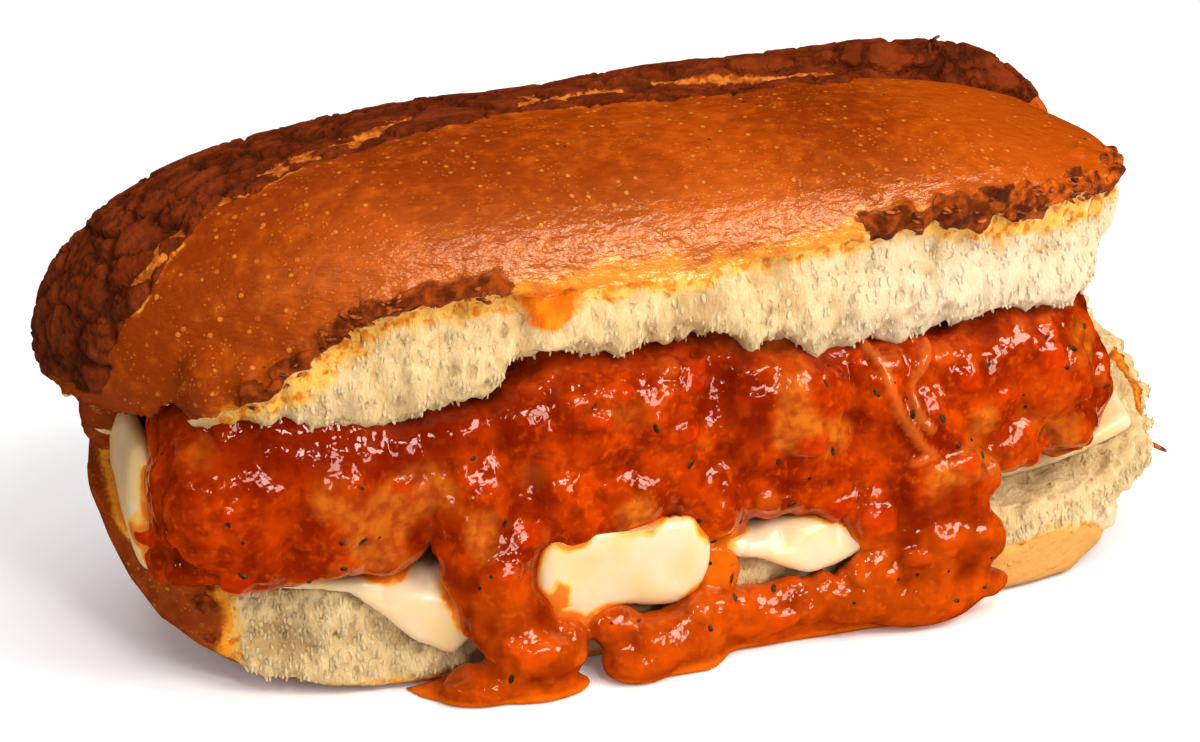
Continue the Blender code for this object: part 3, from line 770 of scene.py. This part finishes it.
def raise_pieces(p, pieces, proud):
    """Height that pieces under the skin give it, and how much each point belongs to one."""
    height, share = np.zeros(len(p)), np.zeros(len(p))
    for centre, size, squash in pieces:
        gap = (p - centre) / (size, size, size * squash)
        distance = (gap**4).sum(axis=1) ** 0.25
        dome = np.sqrt(np.clip(1 - distance**2, 0, 1))
        height = np.maximum(height, dome * size * proud)
        share = np.maximum(share, smooth_step(1.0, 0.75, distance))
    return height, share


def raise_strips(p, strips, width, proud):
    """Height that strips on the front give the skin, and how much each point belongs to one."""
    height, share = np.zeros(len(p)), np.zeros(len(p))
    for start, end in itertools.chain.from_iterable(zip(strip, strip[1:]) for strip in strips):
        way = np.subtract(end, start)
        away = p[:, [0, 2]] - start
        reach = np.clip(away @ way / (way @ way), 0, 1)
        gap = np.linalg.norm(away - reach[:, None] * way, axis=1) / width
        height = np.maximum(height, proud * np.sqrt(np.clip(1 - gap**2, 0, 1)))
        share = np.maximum(share, smooth_step(1.0, 0.6, gap))
    front = p[:, 1] < -27
    return height * front, share * front


def make_filling(look):
    """Meatballs and sauce as one wet skin, with pieces of tomato and onion under it."""
    nodes = [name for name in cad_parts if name.startswith(("meatball", "sauce"))]
    piece = even_skin("filling", nodes, look.detail / MM, 9, SPILLS)
    p, normals = places_of(piece)
    x, y, z = p.T
    keep = (y < -12) & (z > 2) & (z < 62)
    tomatoes = sprinkle(p, normals, look.tomatoes, 3, 1.2, 3.2, keep)
    tomatoes += [(np.array(spot), 3.4, 0.8) for spot in TOMATO_PLACES]
    onions = sprinkle(p, normals, look.onions, 4, 1.0, 2.4, keep)
    rise_t, tomato = raise_pieces(p, tomatoes, 0.38)
    rise_o, onion = raise_pieces(p, onions, 0.34)
    rise_s, strip = raise_strips(p + 0.8 * swell(p, 4, 58)[:, None], ONION_STRIPS, 1.15, 1.0)
    flat = smooth_step(1.5, 4.5, z)
    lumps = swell(p * (1, 1, 0.7), 6.5, 51) + 0.6 * swell(p * (1, 1, 0.8), 3, 52) + 0.14 * swell(p, 1.4, 53)
    height = flat * lumps
    height += flat * np.maximum(rise_t, rise_o) * (1 - strip) + rise_s
    bare = 0.8 * bump(-48, 9, x) * bump(33, 9, z) + 0.5 * bump(-14, 14, x) * bump(29, 6, z)
    meat = smooth_step(0.15, 0.55, swell(p, 9, 54) + bare - 0.25)
    meat = meat * smooth_step(22, 27, z) * (1 - 0.8 * tomato)
    height += meat * 0.35 * swell(p, 1.8, 55)

    ruler = joined_cheese()
    reach = gaps_to(ruler, p)
    bpy.data.objects.remove(ruler)
    film = bump(8.5, 5.5, x) * bump(18, 6, z) + 0.15 * swell(p, 2.5, 60)
    thin = smooth_step(2.2, 0.6, reach + 0.5 * swell(p, 3, 56))
    thin = np.maximum(thin, smooth_step(2.2, 0.8, z + 0.5 * swell(p, 4, 57)))
    thin = np.maximum(thin, smooth_step(0.2, 0.6, film) * (y < -33))
    thin = np.maximum(thin, 0.3 * smooth_step(27, 15, z) * (y < -20))
    p = p + normals * height[:, None]
    p[:, 1] += 4.5 * smooth_step(-4, 4, z - crumb_bottom(x)) * (y < -20)
    p[:, 2] = np.maximum(p[:, 2], 0)
    place(piece, p)
    # Painted shade: the sauce darker in its hollows, in the shadow under the torn lip over the first meatball, and over
    # the first meatball's upper part.
    deep = smooth_step(0.1, -1.1, height) * flat
    deep = np.maximum(deep, smooth_step(13, 2, crumb_bottom(x) - z + 3 * swell(p, 7, 59)) * band(-78, -26, 8, x))
    deep = np.maximum(deep, 0.22 * band(-80, -34, 6, x) * smooth_step(24, 29, z))
    mark(piece, deep=deep, thin=thin * 0.9, meat=meat * (1 - thin), tomato=tomato * (1 - thin) * 0.8,
         onion=onion * (1 - tomato) * 0.6, strip=strip)
    clothe(piece, sauce_finish(look), "sauce", *nodes)


def joined_cheese():
    """The slices' CAD meshes as one object, to measure from."""
    joined = bmesh.new()
    for name in CHEESES:
        joined.from_mesh(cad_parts[name].data)
    return piece_of("cheese_ruler", joined)


# Cheese

CHEESES = ("cheese_left", "cheese_middle", "cheese_right")
DRAPES = {"cheese_left": [((-85, y, 31), (2.8, 6, 11.5)) for y in range(-17, 2)],
          "cheese_middle": [((x, -40.2 - 0.05 * abs(x + 8), 19.5), (4, 1.5, 7.2)) for x in range(-20, 4, 2)]}


def make_cheese(look):
    finish = cheese_finish(look)
    for seed, node in enumerate(CHEESES):
        piece = even_skin(node + "_melted", [node], 0.6, 16, DRAPES.get(node, ()))
        p, normals = places_of(piece)
        hanging = smooth_step(-32, -37, p[:, 1])
        height = 0.35 + 0.35 * swell(p, 8, 61 + seed) + hanging * (0.7 + 0.6 * swell(p, 7, 64 + seed))
        p = p + normals * height[:, None]
        reach = gaps_to(bpy.data.objects["filling"], p)
        stain = smooth_step(1.4, 0.0, reach + 1.8 * swell(p, 7, 67) + 0.5 * swell(p, 2, 68))
        splash = bump(-21, 2.6, p[:, 0]) * bump(17, 3.4, p[:, 2])
        drop = smooth_step(0.35, 0.9, splash + 0.5 * swell(p, 1.9, 69)) * hanging
        x, y, z = p.T
        back = 9 * smooth_step(57, 66, x) * smooth_step(-20, -38, y)
        p[:, 1] += back
        p[:, 2] += (cut_floor(x, y) - cut_floor(x, y - back)) * (back > 0)
        place(piece, p)
        mark(piece, stain=np.maximum(stain, drop))
        clothe(piece, finish, "cheese", node)


# Small bits


def scatter(name, count, seed, spots, normals, size, thickness, hanging=False):
    """Small bent leaves of about that size lying on the spots, at any turn or hanging down, in one mesh."""
    chance = np.random.default_rng(seed)
    sheet = bmesh.new()
    for i in chance.choice(len(spots), count, replace=False):
        long, wide = chance.uniform(0.6, 1.2) * size, chance.uniform(0.3, 0.55) * size
        up = Vector(normals[i]).normalized()
        turn = up.to_track_quat("Z", "Y") @ Quaternion((0, 0, 1), chance.uniform(0, math.tau))
        if hanging:
            down = Vector((chance.uniform(-0.35, 0.35), -0.25, -1)).normalized()
            across = up.cross(down).normalized()
            turn = Matrix((down, across, down.cross(across))).transposed().to_quaternion()
        rim = []
        for k in range(8):
            angle = k * math.tau / 8
            reach = chance.uniform(0.75, 1.15)
            rise = 0.25 * size * chance.uniform(-0.3, 1)
            rim.append((long * math.cos(angle) * reach, wide * math.sin(angle) * reach, rise * abs(math.cos(angle))))
        layers = [[Vector((x, y, z + lift)) for x, y, z in rim] for lift in (-thickness, thickness)]
        middle = Vector(spots[i] + SHIFT)
        rings = [[sheet.verts.new((middle + turn @ corner) * MM) for corner in layer] for layer in layers]
        sheet.faces.new(rings[0][::-1])
        sheet.faces.new(rings[1])
        for k in range(8):
            sheet.faces.new((rings[0][k], rings[0][(k + 1) % 8], rings[1][(k + 1) % 8], rings[1][k]))
    return rounded(piece_of(name, sheet), 1)


def strands(name, paths, radius):
    """Thin tapered strands along the paths, in one mesh."""
    sheet = bmesh.new()
    for path in paths:
        rings = []
        for k, spot in enumerate(path):
            thick = radius * (1 - 0.6 * k / len(path))
            circle = np.array([(0.5 * math.sin(a), math.cos(a), math.sin(a)) for a in np.arange(6) * math.tau / 6])
            rings.append([sheet.verts.new(Vector((SHIFT + spot + corner) * MM)) for corner in circle * thick])
        for first, second in zip(rings, rings[1:]):
            for k in range(6):
                sheet.faces.new((first[k], first[(k + 1) % 6], second[(k + 1) % 6], second[k]))
        sheet.faces.new(rings[0][::-1])
        sheet.faces.new(rings[-1])
    bmesh.ops.recalc_face_normals(sheet, faces=sheet.faces)
    return rounded(piece_of(name, sheet), 2)


# A strand of crust at the right end, and a burnt bit that stands on the crown
LOOSE_STRANDS = (((97, -20.5, 20), (100, -21, 19.4), (102.5, -21, 18.2), (105, -21, 16.6)),
                 ((69.2, 15.8, 86.6), (69.5, 15.9, 88.8), (70.4, 16, 89.7), (71.6, 16, 90)))


def make_bits(look):
    """Herb leaves in the sauce, scraps of crust along the torn edge, and shreds of crumb."""
    p, normals = places_of(bpy.data.objects["filling"])
    wet = (p[:, 1] < -28) & (p[:, 2] > 3) & (p[:, 2] < 50) & (normals[:, 1] < -0.2)
    herbs = scatter("herb_leaves", look.herbs, 11, p[wet], normals[wet], 1.1, 0.12)
    clothe(herbs, plain_finish("dried_herbs", (0.02, 0.012, 0.003), (0.09, 0.05, 0.01), 0.8, 0.4), "sauce")
    p, normals = places_of(bpy.data.objects["roll_upper"])
    x, y, z = p.T
    ridges = (np.abs(x + 50) < 20) | (np.abs(x - 58) < 22)
    edge = (np.abs(z - crust_edge(x) - 1) < 2) & (y < -25) & ridges & (normals[:, 1] < -0.3)
    scraps = scatter("crust_scraps", look.scraps, 12, p[edge], normals[edge] * 0.4 + (0, 0, 0.9), 1.5, 0.2)
    burnt = plain_finish("burnt_scraps", (0.05, 0.009, 0.002), (0.5, 0.12, 0.01), 1.5, 0.5)
    clothe(scraps, burnt, "roll")
    clothe(strands("loose_strands", LOOSE_STRANDS, 0.7), burnt, "roll")

    edge, torn = crust_edge(x), crumb_bottom(x)
    off_drop = (np.abs(x + 20) > 8) | (z < 61)
    soft = (y < -22) & (x > -70) & (x < 90) & (z < edge - 4) & (z > torn) & off_drop & (normals[:, 1] < -0.1)
    picked = np.nonzero(soft)[0]
    shreds = scatter("crumb_shreds", look.shreds, 13, p[picked], normals[picked], 1.0, 0.16, hanging=True)
    x = places_of(shreds)[0][:, 0]
    mark(shreds, crumb=1 + 0 * x, pale=smooth_step(10, 50, x), light=0.5 + 0 * x)
    clothe(shreds, bpy.data.materials["crust_and_crumb"], "roll")
    p, normals = places_of(bpy.data.objects["roll_lower"])
    x, y, z = p.T
    left = (x > -72) & (x < -36) & (z > 3) & (normals[:, 1] < -0.4) & (y < -22)
    right = (x > 58) & (z > 12) & (z < cut_floor(x, y) - 2.5) & (y < 0) & (normals[:, 1] < 0.2)
    soft = np.nonzero(left | right)[0]
    tufts = scatter("crumb_tufts", look.tufts, 14, p[soft], normals[soft], 0.9, 0.2, hanging=True)
    mark(tufts, crumb=1 + 0 * places_of(tufts)[0][:, 0])
    clothe(tufts, bpy.data.materials["crust_and_crumb"], "roll")


# Settings


def colour_setting(name, description, default):
    return FloatVectorProperty(name=name, description=description, default=default, subtype="COLOR", min=0, max=1)


class RollLook(bpy.types.PropertyGroup):
    detail: FloatProperty(name="Detail", description="Size of the roll's mesh faces", default=0.00078, unit="LENGTH")
    # The crust's dark and light colours are mixed by painted light along the loaf and by mottling.
    crust_dark: colour_setting("Crust, dark", "Darker parts of the smooth crust", (0.25, 0.038, 0.0007))
    crust_light: colour_setting("Crust, light", "Lighter parts of the smooth crust", (0.42, 0.078, 0.0018))
    topping: colour_setting("Topping", "Crackled topping along the crown", (0.135, 0.019, 0.002))
    crumb: colour_setting("Crumb", "Torn inside of the bread", (0.85, 0.66, 0.37))
    # The crumb's shade colour is painted shade in the grooves between its strands.
    crumb_shade: colour_setting("Crumb, shade", "Deeper parts of the crumb", (0.7, 0.49, 0.24))


class FillingLook(bpy.types.PropertyGroup):
    detail: FloatProperty(name="Detail", description="Size of the sauce's mesh faces", default=0.0007, unit="LENGTH")
    sauce: colour_setting("Sauce", "Thick tomato sauce", (0.53, 0.062, 0.0006))
    sauce_dark: colour_setting("Sauce, dark", "Deeper parts of the sauce", (0.25, 0.018, 0.0004))
    tomatoes: IntProperty(name="Tomato pieces", description="Pieces of tomato under the skin", default=55, min=0)
    onions: IntProperty(name="Onion pieces", description="Pieces of onion under the skin", default=60, min=0)


class CheeseLook(bpy.types.PropertyGroup):
    colour: colour_setting("Cheese", "Melted cheese", (0.79, 0.6, 0.405))
    stain: colour_setting("Stain", "Where sauce has soaked in", (0.85, 0.22, 0.012))


class BitsLook(bpy.types.PropertyGroup):
    herbs: IntProperty(name="Herb leaves", description="Dried leaves in the sauce", default=46, min=0)
    shreds: IntProperty(name="Crumb shreds", description="Torn fibres on the crumb", default=600, min=1)
    tufts: IntProperty(name="Crumb tufts", description="Torn fibres on the lower half", default=700, min=1)
    scraps: IntProperty(name="Crust scraps", description="Burnt scraps along the torn crust", default=60, min=0)


class StageLook(bpy.types.PropertyGroup):
    floor: colour_setting("Floor", "Plain pale floor", (0.92, 0.92, 0.92))
    glow: FloatProperty(name="Floor glow", description="Light that the floor gives by itself", default=0.1, min=0)
    key: FloatProperty(name="Key light", description="Power of the main light", default=4.8, min=0)
    contrast: FloatProperty(name="Gamma", description="Below 1, the picture's contrast is higher",
                            default=0.86, min=0.5, max=2)
    azimuth: FloatProperty(name="Azimuth", description="Camera's turn from the front",
                           default=math.radians(-18), subtype="ANGLE")
    elevation: FloatProperty(name="Elevation", description="Camera's height over the table",
                             default=math.radians(22), subtype="ANGLE")
    distance: FloatProperty(name="Distance", description="Camera to target", default=0.48, unit="LENGTH")
    lens: FloatProperty(name="Lens", description="Focal length", default=80, unit="CAMERA")


# Operators


class SANDWICH_OT_roll(bpy.types.Operator):
    """Bake the roll: crust, topping and crumb"""

    bl_idname = "sandwich.roll"
    bl_label = "Roll"

    def execute(self, context):
        make_roll(context.scene.sandwich_roll)
        return {"FINISHED"}


class SANDWICH_OT_filling(bpy.types.Operator):
    """Pour the sauce over the meatballs"""

    bl_idname = "sandwich.filling"
    bl_label = "Filling"

    def execute(self, context):
        make_filling(context.scene.sandwich_filling)
        return {"FINISHED"}


class SANDWICH_OT_cheese(bpy.types.Operator):
    """Melt the slices of cheese"""

    bl_idname = "sandwich.cheese"
    bl_label = "Cheese"

    def execute(self, context):
        make_cheese(context.scene.sandwich_cheese)
        return {"FINISHED"}


class SANDWICH_OT_bits(bpy.types.Operator):
    """Scatter herb leaves and scraps of crust"""

    bl_idname = "sandwich.bits"
    bl_label = "Bits"

    def execute(self, context):
        make_bits(context.scene.sandwich_bits)
        return {"FINISHED"}


class SANDWICH_OT_stage(bpy.types.Operator):
    """Set out the floor, the lights and the camera"""

    bl_idname = "sandwich.stage"
    bl_label = "Stage"

    def execute(self, context):
        make_stage(context.scene, context.scene.sandwich_stage)
        return {"FINISHED"}


class SANDWICH_PT_pieces(bpy.types.Panel):
    """The pieces of the sandwich and their settings"""

    bl_idname = "SANDWICH_PT_pieces"
    bl_label = "Sandwich"
    bl_space_type = "VIEW_3D"
    bl_region_type = "UI"
    bl_category = "Sandwich"

    def draw(self, context):
        for operator, look in ((SANDWICH_OT_roll, "roll"), (SANDWICH_OT_filling, "filling"),
                               (SANDWICH_OT_cheese, "cheese"), (SANDWICH_OT_bits, "bits"),
                               (SANDWICH_OT_stage, "stage")):
            box = self.layout.box()
            box.operator(operator.bl_idname)
            settings = getattr(context.scene, "sandwich_" + look)
            for name in settings.__annotations__:
                box.prop(settings, name)


# Stage


# Name, turn and height in degrees, distance and size in metres, share of the key light's power, colour, and whether
# wet surfaces mirror it
LAMPS = (
    ("key", 44, 40, 0.9, 0.34, 1.0, (1, 0.97, 0.93), True),
    ("front", 18, 26, 1.0, 0.3, 0.58, (1, 0.98, 0.95), True),
    ("spark", 2, 50, 0.9, 0.16, 0.3, (1, 1, 1), True),
    ("glint", -48, 38, 0.9, 0.13, 0.15, (1, 1, 1), True),
    ("top", 0, 86, 1.3, 1.3, 2.0, (1, 1, 1), False),
    ("back", 190, 35, 1.2, 0.8, 0.45, (1, 1, 1), False),
    ("fill", -75, 25, 1.2, 0.8, 0.25, (1, 1, 1), False),
)
WORLD_LIGHT = 0.24


def lamp(scene, name, azimuth, elevation, distance, size, power, colour, mirrored, target):
    """A soft box that looks at the target, with its turn and height in degrees, mirrored in wet surfaces or not."""
    light = bpy.data.lights.new(name, "AREA")
    light.shape, light.size, light.energy, light.color = "SQUARE", size, power, colour
    made = bpy.data.objects.new(name, light)
    made.visible_glossy = mirrored
    scene.collection.objects.link(made)
    aim(made, math.radians(azimuth), math.radians(elevation), distance, target)


def aim(obj, azimuth, elevation, distance, target):
    level = math.cos(elevation)
    away = Vector((math.sin(azimuth) * level, -math.cos(azimuth) * level, math.sin(elevation)))
    obj.location = target + away * distance
    obj.rotation_euler = away.to_track_quat("Z", "Y").to_euler()


def make_stage(scene, look):
    mesh = bpy.data.meshes.new("floor")
    mesh.from_pydata([(-4, -4, -0.0002), (4, -4, -0.0002), (4, 4, -0.0002), (-4, 4, -0.0002)], [], [(0, 1, 2, 3)])
    floor = link("floor", mesh)
    pale = Finish("pale_floor")
    mesh.materials.append(pale.done(pale.node("BsdfPrincipled", {}, {
        "Base Color": (*look.floor, 1), "Roughness": 1.0, "Specular IOR Level": 0.0,
        "Emission Color": (1, 1, 1, 1), "Emission Strength": look.glow})))
    floor.visible_glossy = False
    middle = Vector(SHIFT * MM) + Vector((0, 0, 0.038))
    for name, azimuth, elevation, distance, size, share, colour, mirrored in LAMPS:
        lamp(scene, name, azimuth, elevation, distance, size, look.key * share, colour, mirrored, middle)
    world = bpy.data.worlds.new("studio")
    world.use_nodes = True
    world.node_tree.nodes["Background"].inputs["Color"].default_value = (1, 1, 1, 1)
    world.node_tree.nodes["Background"].inputs["Strength"].default_value = WORLD_LIGHT
    world.cycles_visibility.glossy = False
    scene.world = world
    scene.view_settings.view_transform = "Standard"
    scene.view_settings.gamma = look.contrast
    camera = bpy.data.cameras.new("camera")
    camera.lens = look.lens
    holder = bpy.data.objects.new("camera", camera)
    scene.collection.objects.link(holder)
    aim(holder, look.azimuth, look.elevation, look.distance, middle)
    scene.camera = holder


CLASSES = (RollLook, FillingLook, CheeseLook, BitsLook, StageLook, SANDWICH_OT_roll, SANDWICH_OT_filling,
           SANDWICH_OT_cheese, SANDWICH_OT_bits, SANDWICH_OT_stage, SANDWICH_PT_pieces)
LOOKS = {"sandwich_roll": RollLook, "sandwich_filling": FillingLook, "sandwich_cheese": CheeseLook,
         "sandwich_bits": BitsLook, "sandwich_stage": StageLook}


def register():
    for each in CLASSES:
        bpy.utils.register_class(each)
    for name, look in LOOKS.items():
        setattr(bpy.types.Scene, name, PointerProperty(type=look))


def unregister():
    for name in LOOKS:
        delattr(bpy.types.Scene, name)
    for each in reversed(CLASSES):
        bpy.utils.unregister_class(each)


def main():
    register()
    bpy.ops.sandwich.roll()
    bpy.ops.sandwich.filling()
    bpy.ops.sandwich.cheese()
    bpy.ops.sandwich.bits()
    bpy.ops.sandwich.stage()


if __name__ == "__main__":
    main()
